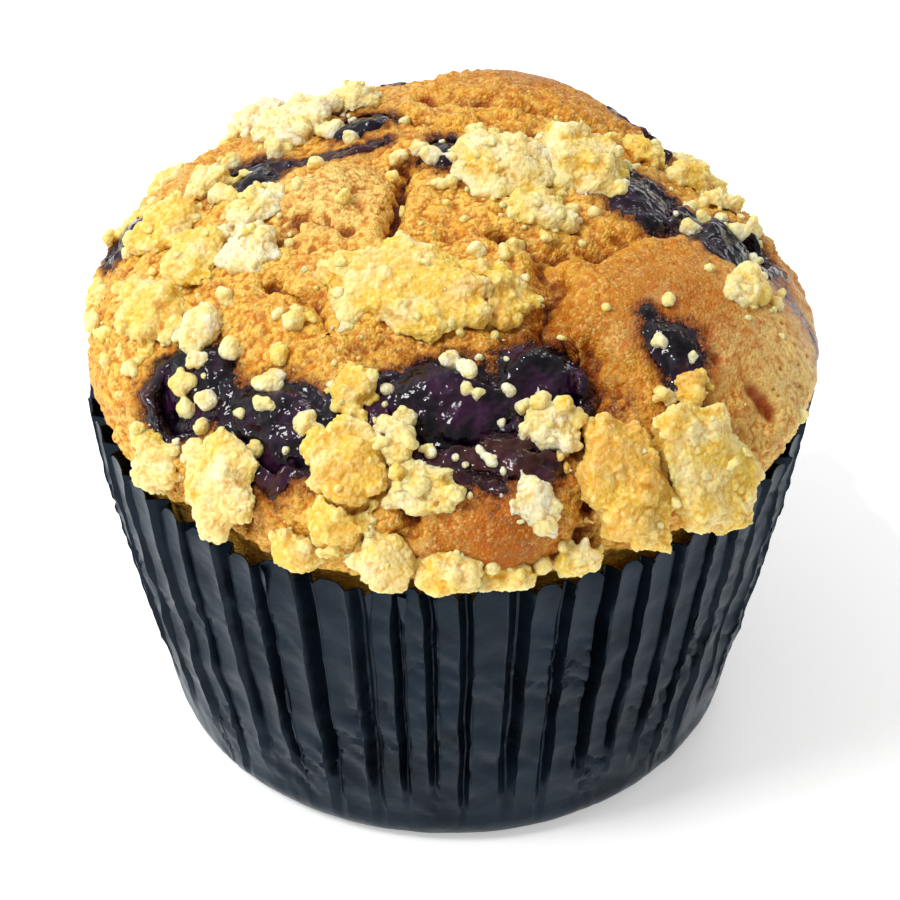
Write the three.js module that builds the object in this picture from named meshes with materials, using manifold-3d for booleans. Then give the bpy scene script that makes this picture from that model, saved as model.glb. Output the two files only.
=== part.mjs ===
// A streusel-topped blueberry muffin in its pleated foil baking cup.
//
// Units are millimetres and +Z is up. The origin is the middle of the cup's flat base, and the
// muffin's front faces -Y. A place on the cake is given as seen from a point inside it, the heart:
// the turn is the angle round from the front, positive to the right, and the tilt is the angle
// down from straight up.

import * as THREE from "three";
import { mergeVertices } from "three/addons/utils/BufferGeometryUtils.js";
import Module from "manifold-3d";

const wasm = await Module();
wasm.setup();

// ---- Driving dimensions -------------------------------------------------------------------

const GAP = 0.3; // between any two pieces that touch

const BASE_RADIUS = 24.8; // the flat that the cup rests on
const FOOT_RADIUS = 27.8; // where the rounded foot meets the wall
const FOOT_HEIGHT = 4;
const RIM_RADIUS = 35;
const CUP_HEIGHT = 38;
const WALL_BULGE = 0.3;
const FOIL = 0.5;

const PLEATS = 52;
const PLEAT_DEPTH = 1.6;
const PLEAT_START = 3; // height where the pleats begin, just above the base
const PLEAT_FULL = 20; // height where they have their full depth
const CREST_SHARE = 0.66; // share of a pleat's pitch taken by its flat crest
const CREST_SPREAD = 0.16; // and how much that share varies from pleat to pleat
const PITCH_JITTER = 0.16;
const SCALLOP_UP = 0.4; // a crest's tab stands this much above the rim
const SCALLOP_DOWN = 0.7; // and a valley's notch lies this much below it
const WALL_STEPS = 2;
const FOOT_MIDDLE = 0.3; // share of the foot's height where its curve has a ring of its own

const HEART_Z = 30;
const DOME_RADIUS = 34.7;
const DOME_WIDEST_Z = 40;
const DOME_RISE = 16; // from the widest place to the top
const DOME_UNDERCUT = 2.2; // how far the overhang curls back down above the rim
const DOME_BOTTOM_TILT = 74.5;
const LOBES_FADE_FROM = 39.3; // below this height a lobe doesn't swell the cake
const LOBES_FULL_AT = 42.5;

const CAKE_SIDES = 36;
const DOME_RINGS = 12;

// Soft swellings and hollows of the cake's top: turn, tilt, spread in degrees and height.
const LOBES = [
  { turn: 172, tilt: 44, spread: 21, height: 2.0 }, // smooth lobe behind the crown
  { turn: 60, tilt: 50, spread: 24, height: 2.2 }, // big lobe on the right
  { turn: 60, tilt: 69, spread: 15, height: 1.3 }, // its foot, over the rim
  { turn: 7, tilt: 67, spread: 12, height: 1.5 }, // low lobe in front
  { turn: -28, tilt: 68, spread: 9, height: 0.8 },
  { turn: -80, tilt: 62, spread: 18, height: 0.6 },
  { turn: -95, tilt: 25, spread: 14, height: 1.0 },
  { turn: -150, tilt: 66, spread: 16, height: 0.9 },
  { turn: 150, tilt: 68, spread: 14, height: 0.7 },
  { turn: 75, tilt: 28, spread: 8, height: -1.8 }, // split above the right lobe
  { turn: 26, tilt: 36, spread: 9, height: -1.8 }, // hollow left of it
  { turn: 8, tilt: 50, spread: 10, height: -0.7 }, // burst berries in front
  { turn: -42, tilt: 57, spread: 11, height: -0.7 },
  { turn: 104, tilt: 45, spread: 9, height: -0.8 },
  { turn: 124, tilt: 58, spread: 18, height: -1.8 },
  { turn: -125, tilt: 38, spread: 9, height: -0.6 },
];

// Baked-in berries: width round the cake, depth down its side, and thickness.
const BERRIES = {
  blueberry_front_centre: { turn: 1, tilt: 49, size: [12, 9.5, 8] },
  blueberry_front_right: { turn: 20, tilt: 47, size: [7.5, 8.5, 7.5] },
  blueberry_front_left: { turn: -33, tilt: 57, size: [11, 8.5, 8] },
  blueberry_far_left: { turn: -53, tilt: 59, size: [7, 8, 7] },
  blueberry_right: { turn: 49.5, tilt: 50, size: [4.6, 7, 6] },
  blueberry_upper_right: { turn: 106, tilt: 40, size: [8, 7.5, 7.5] },
  blueberry_far_right: { turn: 93, tilt: 52.5, size: [8.5, 7.5, 7.5] },
  blueberry_crown_left: { turn: -115, tilt: 43.5, size: [5.8, 4.6, 6] },
  blueberry_crown_back: { turn: -152, tilt: 36, size: [5.6, 4.6, 6] },
  blueberry_crown: { turn: -177, tilt: 18, size: [4, 5.5, 6] },
  blueberry_left_edge: { turn: -103, tilt: 61.5, size: [5, 4.5, 6] },
  blueberry_back: { turn: 150, tilt: 71, size: [9, 7, 6.5] },
  blueberry_back_left: { turn: -161, tilt: 71, size: [8.5, 7, 6.5] },
};
const BERRY_SINK = 0.32; // share of its thickness by which a berry's middle is sunk
const BERRY_ROUGHNESS = 0.04;
const BERRY_DETAIL = 1;

// Baked lumps of streusel: width round the cake, depth down its side, and thickness.
const STREUSEL = {
  streusel_centre_slab: { turn: -18, tilt: 27, size: [17.5, 11.5, 4.4] },
  streusel_centre_right: { turn: 17, tilt: 28, size: [6.5, 7.5, 4] },
  streusel_crown: { turn: 142, tilt: 16.5, size: [11, 9.5, 4.6] },
  streusel_crown_right: { turn: 124, tilt: 31, size: [11.5, 9, 4.8] },
  streusel_crown_low: { turn: 85, tilt: 18.5, size: [5, 6.5, 3.2] },
  streusel_top_left: { turn: -141, tilt: 47, size: [8, 7.5, 4] },
  streusel_top_left_inner: { turn: -157, tilt: 45, size: [5.5, 5, 3.4] },
  streusel_top_left_outer: { turn: -142, tilt: 57.5, size: [6, 5.5, 3.6] },
  streusel_round_left: { turn: -111, tilt: 49, size: [4.2, 4.2, 3.6] },
  streusel_left_high: { turn: -98, tilt: 53.5, size: [7.5, 6.8, 4.4] },
  streusel_left_middle: { turn: -82, tilt: 47.5, size: [7.5, 6, 4.2] },
  streusel_left_low: { turn: -74, tilt: 56, size: [8.5, 7.5, 4.2] },
  streusel_left_inner: { turn: -61, tilt: 51.5, size: [5, 5.5, 3.2] },
  streusel_pale_upper: { turn: -95, tilt: 37, size: [6.2, 6, 3.2] },
  streusel_pale_lower: { turn: -76, tilt: 38.5, size: [6, 5.6, 3.2] },
  streusel_edge_left: { turn: -110, tilt: 65.5, size: [5.5, 4.6, 3.2] },
  streusel_edge_left_low: { turn: -92, tilt: 68, size: [4, 3.6, 2.2] },
  streusel_low_left: { turn: -37, tilt: 67, size: [8, 9, 5] },
  streusel_low_left_round: { turn: -51, tilt: 70, size: [5.5, 5.5, 4.2] },
  streusel_front_left_high: { turn: -21, tilt: 48, size: [4.4, 5.6, 3.2] },
  streusel_front_left: { turn: -17.5, tilt: 59, size: [7.5, 8, 5] },
  streusel_front_left_low: { turn: -17, tilt: 67, size: [6.5, 5, 4.4] },
  streusel_front_left_side: { turn: -10.5, tilt: 55, size: [4, 5.2, 3.6] },
  streusel_foot_left: { turn: -23, tilt: 72.5, size: [5, 4.5, 3.8] },
  streusel_foot_middle: { turn: -9.5, tilt: 71.5, size: [6.4, 6.6, 4.4] },
  streusel_foot_centre: { turn: 0, tilt: 72, size: [6, 5.4, 4] },
  streusel_foot_right: { turn: 8.5, tilt: 73.5, size: [6, 4, 3.4] },
  streusel_pair_left: { turn: 28, tilt: 64, size: [8.5, 13.5, 5.4] },
  streusel_pair_right: { turn: 41, tilt: 66, size: [10, 13.5, 5.2] },
  streusel_pair_top: { turn: 46, tilt: 56, size: [3.6, 3.6, 3.2] },
  streusel_right_flank: { turn: 74, tilt: 53, size: [6, 4.6, 4] },
  streusel_edge_right_a: { turn: 131, tilt: 51, size: [4.4, 4.4, 3.4] },
  streusel_edge_right_b: { turn: 122, tilt: 55.5, size: [4, 4, 3.2] },
  streusel_edge_right_c: { turn: 113, tilt: 58, size: [4, 4, 3.2] },
  streusel_under_berry: { turn: -4.5, tilt: 61, size: [7.6, 4.8, 3.4] },
  streusel_on_berry: { turn: 19, tilt: 54, size: [6, 4.8, 3] },
  streusel_front_pale: { turn: 13, tilt: 63.5, size: [4.6, 5.8, 2.8] },
  streusel_low_right: { turn: 19, tilt: 73, size: [4.6, 3.8, 3] },
  streusel_back: { turn: 172, tilt: 73, size: [8.5, 5.5, 3.4] },
  streusel_back_small: { turn: -172, tilt: 72, size: [5, 4, 3] },
  streusel_back_right: { turn: 134, tilt: 71, size: [7.5, 5.5, 3.8] },
  streusel_back_left: { turn: -146, tilt: 72, size: [8, 6, 3.8] },
  streusel_back_far_left: { turn: -127, tilt: 70, size: [5.5, 5.5, 3.4] },
};
const LUMP_SINK = 0.12; // share of its thickness by which a lump's middle is sunk
const BIG_LUMP = 7.5; // wider or deeper lumps get a finer mesh
const LUMP_ROUGHNESS = 0.2;
const RIPPLES = [5, 6, 4]; // waves of a lump's surface along its width, depth and thickness
const TURN_PHASE = 0.37; // the two phases keep any two lumps from rippling alike
const TILT_PHASE = 0.91;
const NEAR_SHARE = 0.75; // share of two lumps' summed sizes within which they may touch
const RIM_TILT = 68; // lumps lower than this may reach the cup's rim

const FINISHES = {
  foil: { color: 0x1b232b, roughness: 0.42, metalness: 0.85 },
  crust: { color: 0xc98736, roughness: 0.72, metalness: 0 },
  berry: { color: 0x2b1a3a, roughness: 0.25, metalness: 0 },
  streusel: { color: 0xe8cc78, roughness: 0.85, metalness: 0 },
};

// ---- Small tools --------------------------------------------------------------------------

const radians = THREE.MathUtils.degToRad;
const smooth = THREE.MathUtils.smoothstep;
const HEART = new THREE.Vector3(0, 0, HEART_Z);

function seededRandom(seed) {
  let state = seed;
  return () => {
    state = (state * 16807) % 2147483647;
    return state / 2147483647;
  };
}

function direction(turn, tilt) {
  const across = Math.sin(radians(tilt));
  const x = across * Math.sin(radians(turn));
  const y = -across * Math.cos(radians(turn));
  return new THREE.Vector3(x, y, Math.cos(radians(tilt)));
}

// A closed surface through rings with the same number of points, from one end point to the other.
function skin(start, rings, end) {
  const sides = rings[0].length;
  const points = [start, ...rings.flat(), end];
  const last = points.length - 1;
  const index = [];
  const at = (ring, side) => 1 + ring * sides + (side % sides);
  for (let side = 0; side < sides; side += 1) {
    index.push(0, at(0, side + 1), at(0, side));
    index.push(last, at(rings.length - 1, side), at(rings.length - 1, side + 1));
    for (let ring = 0; ring + 1 < rings.length; ring += 1) {
      const [a, b] = [at(ring, side), at(ring, side + 1)];
      const [c, d] = [at(ring + 1, side), at(ring + 1, side + 1)];
      index.push(a, b, d, a, d, c);
    }
  }
  return new THREE.BufferGeometry().setFromPoints(points).setIndex(index);
}

function solidOf(geometry) {
  geometry.deleteAttribute("normal");
  geometry.deleteAttribute("uv");
  const merged = mergeVertices(geometry, 1e-4);
  const mesh = new wasm.Mesh({
    numProp: 3,
    vertProperties: merged.attributes.position.array,
    triVerts: new Uint32Array(merged.index.array),
  });
  return new wasm.Manifold(mesh);
}

function geometryOf(solid) {
  const { vertProperties, triVerts } = solid.getMesh();
  const geometry = new THREE.BufferGeometry();
  geometry.setAttribute("position", new THREE.BufferAttribute(vertProperties, 3));
  geometry.setIndex(new THREE.BufferAttribute(triVerts, 1));
  geometry.computeVertexNormals();
  return geometry;
}

// A cut can leave loose slivers beside the piece itself.
function largestBody(solid) {
  const bodies = solid.decompose();
  return bodies.reduce((best, body) => (body.volume() > best.volume() ? body : best));
}

// ---- Baking cup ---------------------------------------------------------------------------

function crestRadius(z) {
  if (z < FOOT_HEIGHT) {
    const below = 1 - z / FOOT_HEIGHT;
    return BASE_RADIUS + (FOOT_RADIUS - BASE_RADIUS) * Math.sqrt(1 - below * below);
  }
  const up = (z - FOOT_HEIGHT) / (CUP_HEIGHT - FOOT_HEIGHT);
  const bulge = WALL_BULGE * Math.sin(Math.PI * Math.min(up, 1));
  return FOOT_RADIUS + (RIM_RADIUS - FOOT_RADIUS) * up + bulge;
}

function pleatDepth(z) {
  return PLEAT_DEPTH * smooth(z, PLEAT_START, PLEAT_FULL);
}

// Angles round the cup: each pleat has the two ends of its crest, then its valley.
function pleatAngles() {
  const random = seededRandom(7);
  const pitch = (2 * Math.PI) / PLEATS;
  const angles = [];
  for (let pleat = 0; pleat < PLEATS; pleat += 1) {
    const middle = (pleat + PITCH_JITTER * (random() - 0.5)) * pitch;
    const half = (pitch * CREST_SHARE * (1 + CREST_SPREAD * (2 * random() - 1))) / 2;
    angles.push({ angle: middle - half, valley: false });
    angles.push({ angle: middle + half, valley: false });
    angles.push({ angle: (pleat + 0.5) * pitch, valley: true });
  }
  return angles;
}

function cupRing(angles, z, inset, grow) {
  return angles.map(({ angle, valley }) => {
    const radius = crestRadius(z) - inset - (valley ? pleatDepth(z) : 0);
    const lift = z < CUP_HEIGHT ? 0 : grow + (valley ? -SCALLOP_DOWN : SCALLOP_UP);
    return new THREE.Vector3(radius * Math.cos(angle), radius * Math.sin(angle), z + lift);
  });
}

// Heights of the wall's rings above the flat base.
function wallHeights() {
  const heights = [FOOT_HEIGHT * FOOT_MIDDLE, FOOT_HEIGHT];
  for (let step = 1; step <= WALL_STEPS; step += 1) {
    heights.push(FOOT_HEIGHT + ((CUP_HEIGHT - FOOT_HEIGHT) * step) / WALL_STEPS);
  }
  return heights;
}

// The foil's wall and base, or the same grown by a clearance all over.
function cupGeometry(grow = 0) {
  const angles = pleatAngles();
  const heights = [0, ...wallHeights()];
  const outer = heights.map((z) => cupRing(angles, z, -grow, grow));
  const inner = heights.slice(1).reverse();
  const lining = inner.map((z) => cupRing(angles, z, FOIL + grow, grow));
  const floor = cupRing(angles, 0, FOIL + grow, grow);
  floor.forEach((point) => point.setZ(FOIL + grow));
  const rings = [...outer, ...lining, floor];
  return skin(new THREE.Vector3(0, 0, 0), rings, new THREE.Vector3(0, 0, FOIL + grow));
}

// ---- Cake ---------------------------------------------------------------------------------

// Distance from the heart to the plain dome, an ellipsoid with a much flatter underside.
function domeReach(tilt) {
  const [across, up] = [Math.sin(radians(tilt)), Math.cos(radians(tilt))];
  const drop = HEART_Z - DOME_WIDEST_Z;
  const levelReach = -drop / Math.max(up, 1e-6);
  const overhang = levelReach * across > DOME_RADIUS;
  const semi = overhang ? DOME_UNDERCUT : DOME_RISE;
  const a = (across / DOME_RADIUS) ** 2 + (up / semi) ** 2;
  const b = (2 * up * drop) / semi ** 2;
  const c = (drop / semi) ** 2 - 1;
  return (-b + Math.sqrt(Math.max(b * b - 4 * a * c, 0))) / (2 * a);
}

function lobeHeight(toward) {
  return LOBES.reduce((sum, { turn, tilt, spread, height }) => {
    const angle = toward.angleTo(direction(turn, tilt)) / radians(spread);
    return sum + height * Math.exp(-angle * angle);
  }, 0);
}

// A point on the cake's top, or a distance out from it.
function topPoint(turn, tilt, out = 0) {
  const toward = direction(turn, tilt);
  const reach = domeReach(tilt);
  const z = HEART_Z + reach * toward.z;
  const swell = lobeHeight(toward) * smooth(z, LOBES_FADE_FROM, LOBES_FULL_AT);
  return toward.multiplyScalar(reach + swell + out).add(HEART);
}

function topNormal(turn, tilt) {
  const step = 2;
  const round = topPoint(turn + step, tilt).sub(topPoint(turn - step, tilt));
  const down = topPoint(turn, tilt + step).sub(topPoint(turn, tilt - step));
  return down.cross(round).normalize();
}

// The cake fills the cup inside its pleats and swells out over the rim.
function cakeGeometry(out = 0) {
  const turns = Array.from({ length: CAKE_SIDES }, (_, side) => (360 * side) / CAKE_SIDES);
  const clearance = FOIL + GAP;
  const level = (radius, z) =>
    turns.map((turn) => direction(turn, 90).multiplyScalar(radius + out).setZ(z));
  const rings = [level(BASE_RADIUS - clearance, clearance)];
  for (const z of wallHeights()) {
    rings.push(level(crestRadius(z) - pleatDepth(z) - clearance, z));
  }
  for (let step = 0; step < DOME_RINGS; step += 1) {
    const tilt = DOME_BOTTOM_TILT * (1 - step / DOME_RINGS);
    rings.push(turns.map((turn) => topPoint(turn, tilt, out)));
  }
  return skin(new THREE.Vector3(0, 0, clearance), rings, topPoint(0, 0, out));
}

// ---- Berries and streusel -----------------------------------------------------------------

// A lump of the given size set on the cake's top, its middle sunk below the surface.
function lumpGeometry({ turn, tilt, size }, sink, detail, roughness, grow) {
  const normal = topNormal(turn, tilt);
  const round = direction(turn + 90, 90);
  const uphill = new THREE.Vector3().crossVectors(normal, round).normalize();
  round.crossVectors(uphill, normal);
  const centre = topPoint(turn, tilt).addScaledVector(normal, -sink * size[2]);
  const geometry = new THREE.IcosahedronGeometry(1, detail);
  const place = geometry.attributes.position;
  const point = new THREE.Vector3();
  const phase = turn * TURN_PHASE + tilt * TILT_PHASE;
  const [acrossWaves, downWaves, outWaves] = RIPPLES;
  for (let i = 0; i < place.count; i += 1) {
    point.fromBufferAttribute(place, i);
    const across = Math.sin(point.x * acrossWaves + phase);
    const down = Math.sin(point.y * downWaves - phase);
    const out = Math.sin(point.z * outWaves + point.x + 2 * phase);
    const ripple = across * down + out / 2;
    const [x, y, z] = size.map((length, axis) => {
      const half = length / 2 + grow;
      return point.getComponent(axis) * half * (1 + roughness * ripple);
    });
    point.copy(centre);
    point.addScaledVector(round, x).addScaledVector(uphill, y).addScaledVector(normal, z);
    place.setXYZ(i, point.x, point.y, point.z);
  }
  return geometry;
}

function berrySolid(berry, grow) {
  return solidOf(lumpGeometry(berry, BERRY_SINK, BERRY_DETAIL, BERRY_ROUGHNESS, grow));
}

function streuselSolid(lump, grow) {
  const big = Math.max(lump.size[0], lump.size[1]) > BIG_LUMP;
  return solidOf(lumpGeometry(lump, -LUMP_SINK, big ? 2 : 1, LUMP_ROUGHNESS, grow));
}

function touches(a, b) {
  const [p, q] = [topPoint(a.turn, a.tilt), topPoint(b.turn, b.tilt)];
  return p.distanceTo(q) < (Math.max(...a.size) + Math.max(...b.size)) * NEAR_SHARE;
}

// ---- Assembly -----------------------------------------------------------------------------

const muffin = new THREE.Group();
muffin.name = "muffin";

function addPiece(name, geometry, finish) {
  const mesh = new THREE.Mesh(geometry, new THREE.MeshStandardMaterial(FINISHES[finish]));
  mesh.name = name;
  muffin.add(mesh);
}

addPiece("baking_cup", cupGeometry(), "foil");

let cake = solidOf(cakeGeometry());
const cakeWithGap = solidOf(cakeGeometry(GAP));
const cupWithGap = solidOf(cupGeometry(GAP));
const placedBerries = [];
for (const [name, berry] of Object.entries(BERRIES)) {
  let solid = berrySolid(berry, 0);
  for (const other of placedBerries.filter((one) => touches(one, berry))) {
    solid = solid.subtract(berrySolid(other, GAP));
  }
  solid = largestBody(solid);
  cake = cake.subtract(berrySolid(berry, GAP));
  placedBerries.push(berry);
  addPiece(name, geometryOf(solid), "berry");
}
addPiece("muffin_body", geometryOf(largestBody(cake)), "crust");

const placedLumps = [];
for (const [name, lump] of Object.entries(STREUSEL)) {
  let solid = streuselSolid(lump, 0).subtract(cakeWithGap);
  if (lump.tilt > RIM_TILT) {
    solid = solid.subtract(cupWithGap);
  }
  for (const berry of placedBerries.filter((one) => touches(one, lump))) {
    solid = solid.subtract(berrySolid(berry, GAP));
  }
  for (const other of placedLumps.filter((one) => touches(one, lump))) {
    solid = solid.subtract(streuselSolid(other, GAP));
  }
  placedLumps.push(lump);
  addPiece(name, geometryOf(largestBody(solid)), "streusel");
}

export default muffin;
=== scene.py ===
# %% [markdown]
# # A blueberry streusel muffin in its foil cup
#
# This lesson finishes a small baked object. The sizes and places come from a fixed frame of plain
# solids: one for the cup, one for the cake, and one for each berry and each lump of streusel.
# Every one of them is refined here into what it is on the real muffin. Lengths are in metres, as
# Blender wants them, and written in millimetres, as a baker would say them.

# %% Load the frame
import math
import random

import bmesh
import bpy
import numpy as np
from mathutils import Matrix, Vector, noise
from mathutils.bvhtree import BVHTree


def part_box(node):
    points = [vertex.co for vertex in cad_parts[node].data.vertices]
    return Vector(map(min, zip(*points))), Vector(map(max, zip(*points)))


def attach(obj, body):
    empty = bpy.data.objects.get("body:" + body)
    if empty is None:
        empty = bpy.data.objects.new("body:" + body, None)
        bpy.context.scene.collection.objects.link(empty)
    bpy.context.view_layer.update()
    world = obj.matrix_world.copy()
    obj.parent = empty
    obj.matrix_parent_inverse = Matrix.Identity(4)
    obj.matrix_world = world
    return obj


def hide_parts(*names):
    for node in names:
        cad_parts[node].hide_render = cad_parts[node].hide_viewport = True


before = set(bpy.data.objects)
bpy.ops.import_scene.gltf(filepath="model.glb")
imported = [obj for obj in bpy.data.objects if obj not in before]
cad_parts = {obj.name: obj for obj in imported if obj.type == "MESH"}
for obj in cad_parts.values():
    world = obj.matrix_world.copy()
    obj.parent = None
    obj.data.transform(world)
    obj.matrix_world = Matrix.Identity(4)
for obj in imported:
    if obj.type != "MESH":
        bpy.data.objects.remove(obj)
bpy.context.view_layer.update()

MM = 0.001

# %% [markdown]
# ## Small helpers
#
# Three things repeat all through the lesson. A colour is written as the hex value that a painter
# would pick on a screen, and one function turns it into the linear light that Blender works in.
# A shader node is added with its settings and links in one call. A mesh is made from plain arrays
# of points and faces.

# %% Colours, nodes and meshes
def linear(hex_colour):
    """A hex colour as linear red, green, blue and alpha."""
    values = [int(hex_colour[i:i + 2], 16) / 255 for i in (1, 3, 5)]
    return [v / 12.92 if v <= 0.04045 else ((v + 0.055) / 1.055) ** 2.4 for v in values] + [1]


def add_node(tree, kind, inputs=None, **settings):
    """Adds a node. An input's value is a number, a colour or another node's output."""
    made = tree.nodes.new(kind)
    for name, value in settings.items():
        setattr(made, name, value)
    for name, value in (inputs or {}).items():
        if isinstance(value, bpy.types.NodeSocket):
            tree.links.new(value, made.inputs[name])
        else:
            made.inputs[name].default_value = value
    return made


def per_mm(size):
    """The texture scale that makes one cell of a pattern this many millimetres wide."""
    return 1 / (size * MM)


def start_material(name):
    """A material with only its output, and the tree to build it in."""
    material = bpy.data.materials.new(name)
    material.use_nodes = True
    material.node_tree.nodes.clear()
    return material, material.node_tree


def mesh_object(name, points, faces):
    mesh = bpy.data.meshes.new(name)
    mesh.from_pydata([tuple(p) for p in points], [], [tuple(f) for f in faces])
    mesh.update()
    made = bpy.data.objects.new(name, mesh)
    bpy.context.scene.collection.objects.link(made)
    return made


# %% [markdown]
# ## Reading and writing a mesh's points
#
# Most of the modelling below moves thousands of points at once. NumPy arrays do that far faster
# than a loop over Blender's own vertices, so two short functions copy the points out and back.

# %% Points, normals and neighbours
def points_of(mesh):
    flat = np.empty(len(mesh.vertices) * 3)
    mesh.vertices.foreach_get("co", flat)
    return flat.reshape(-1, 3)


def set_points(mesh, points):
    mesh.vertices.foreach_set("co", np.asarray(points, float).ravel())
    mesh.update()


def normals_of(mesh):
    flat = np.empty(len(mesh.vertices) * 3, np.float32)
    mesh.vertex_normals.foreach_get("vector", flat)
    return flat.reshape(-1, 3).astype(float)


def faces_of(mesh):
    return [list(p.vertices) for p in mesh.polygons]


def neighbour_mean(mesh, values):
    """The average of each point's neighbours, for numbers or for vectors."""
    pairs = np.empty(len(mesh.edges) * 2, np.int32)
    mesh.edges.foreach_get("vertices", pairs)
    a, b = pairs.reshape(-1, 2).T
    count = np.bincount(pairs, minlength=len(values)).clip(1)
    columns = values.reshape(len(values), -1).T
    total = [
        np.bincount(a, column[b], len(values)) + np.bincount(b, column[a], len(values))
        for column in columns
    ]
    return (np.array(total) / count).T.reshape(values.shape)


def hollow_of(mesh, passes):
    """How deep each point lies below its surroundings, in metres. It is negative on a bump."""
    points, normals = points_of(mesh), normals_of(mesh)
    around = points
    for _ in range(passes):
        around = neighbour_mean(mesh, around)
    return ((around - points) * normals).sum(1)


def store(mesh, name, values):
    attribute = mesh.attributes.new(name, "FLOAT", "POINT")
    attribute.data.foreach_set("value", np.asarray(values, np.float32))


def ease(values, low, high):
    """0 below low, 1 above high, and a smooth step between."""
    t = np.clip((values - low) / (high - low), 0, 1)
    return t * t * (3 - 2 * t)


def noise_at(points, size, seed=0):
    """Smooth noise from -1 to 1 whose bumps are about this many millimetres wide."""
    scale = per_mm(size)
    shift = Vector((seed * 7.1, seed * 3.3, seed * 5.7))
    return np.array([noise.noise(Vector(p) * scale + shift) for p in points])


def stacked(points, layers, pattern=noise_at):
    """Layers of a pattern added up. Each is (width in mm, height, seed)."""
    return sum(height * pattern(points, size, seed) for size, height, seed in layers)


# %% [markdown]
# ## Places on the cake
#
# A place on the dome is given by two angles seen from a point inside the cake, the heart: the turn
# round from the front, positive to the right, and the tilt down from straight up. The frame's own
# source uses the same two angles.

# %% Directions from the heart
HEART = np.array([0, 0, 30 * MM])


def toward(turn, tilt):
    turn, tilt = math.radians(turn), math.radians(tilt)
    across = math.sin(tilt)
    return np.array([across * math.sin(turn), -across * math.cos(turn), math.cos(tilt)])


def nearness(points, turn, tilt, spread):
    """1 for points in that direction from the heart, fading over the spread in degrees."""
    rays = points - HEART
    rays = rays / np.linalg.norm(rays, axis=1)[:, None]
    angle = np.degrees(np.arccos(np.clip(rays @ toward(turn, tilt), -1, 1)))
    return np.exp(-(angle / spread) ** 2)


# %% [markdown]
# ## Camera
#
# The muffin is seen from the front and well above, as on a table in front of you. A long lens
# keeps the cup's sides from leaning together. The camera looks at a point low in the cake.

# %% Camera
VIEW_ELEVATION = 39
VIEW_DISTANCE = 0.45
AIM = Vector((0.1, 0, 26.6)) * MM
LENS = 185.8
SENSOR = 36

camera_data = bpy.data.cameras.new("camera")
camera_data.lens = LENS
camera_data.sensor_width = SENSOR
camera = bpy.data.objects.new("camera", camera_data)
bpy.context.scene.collection.objects.link(camera)
lift = math.radians(VIEW_ELEVATION)
camera.location = AIM + VIEW_DISTANCE * Vector((0, -math.cos(lift), math.sin(lift)))
camera.rotation_euler = (math.radians(90 - VIEW_ELEVATION), 0, 0)
bpy.context.scene.camera = camera
print("camera at", [round(v, 3) for v in camera.location])

# %% [markdown]
# ## Floor and light
#
# A muffin is usually seen on a white bench by a window. The floor is a sheet of frosted acrylic:
# matt, with no edge in sight, barely clouded every 3 mm, and lit a little from below, which keeps
# the shadow pale. It could be a plain white plane under a stronger light, but then the crust would
# burn out first. A soft window at the upper left gives the one faint shadow on the right, and a
# small hard lamp and a weak one behind put sharp sparkles on the wet berries. The world is the
# light that a white room gives back. It is dimmer on the right and in front, so that the foil,
# which mirrors it, stays dark.

# %% Floor
FLOOR_HALF = 3
FLOOR_GLOW = 0.41

corners = [(-1, -1), (1, -1), (1, 1), (-1, 1)]
floor = mesh_object("floor", [(x * FLOOR_HALF, y * FLOOR_HALF, 0) for x, y in corners], [range(4)])
lit_sheet, tree = start_material("frosted_acrylic_sheet")
where = add_node(tree, "ShaderNodeTexCoord")
grain = add_node(
    tree, "ShaderNodeTexNoise", {"Vector": where.outputs["Object"], "Scale": per_mm(3)}
)
shade = add_node(tree, "ShaderNodeValToRGB", {"Fac": grain.outputs["Fac"]})
shade.color_ramp.elements[0].color = linear("#F5F5F5")
shade.color_ramp.elements[1].color = linear("#F9F9F9")
paint = add_node(
    tree,
    "ShaderNodeBsdfPrincipled",
    {
        "Base Color": shade.outputs["Color"],
        "Roughness": 0.8,
        "Emission Color": linear("#FFFFFF"),
        "Emission Strength": FLOOR_GLOW,
    },
)
add_node(tree, "ShaderNodeOutputMaterial", {"Surface": paint.outputs["BSDF"]})
floor.data.materials.append(lit_sheet)
print("floor", 2 * FLOOR_HALF, "m wide")

# %% Lamps
# Each lamp's name, its place, the height it aims at, its width in metres and its watts.
LAMPS = [
    ("window", (-0.5, -0.3, 0.75), 0.03, 0.24, 4.6),
    ("back_lamp", (0.25, 0.6, 0.7), 0.04, 0.3, 1.3),
    ("spark_lamp", (-0.3, -0.1, 0.9), 0.04, 0.03, 1.4),
]

for name, place, aim_height, width, watts in LAMPS:
    lamp = bpy.data.lights.new(name, "AREA")
    lamp.size = width
    lamp.energy = watts
    made = bpy.data.objects.new(name, lamp)
    made.location = place
    aim = Vector((0, 0, aim_height)) - Vector(place)
    made.rotation_euler = aim.to_track_quat("-Z", "Y").to_euler()
    bpy.context.scene.collection.objects.link(made)
print(len(LAMPS), "lamps")

# %% White room
ROOM_LEFT, ROOM_RIGHT, ROOM_FRONT = 1.05, 0.38, 0.5

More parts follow.
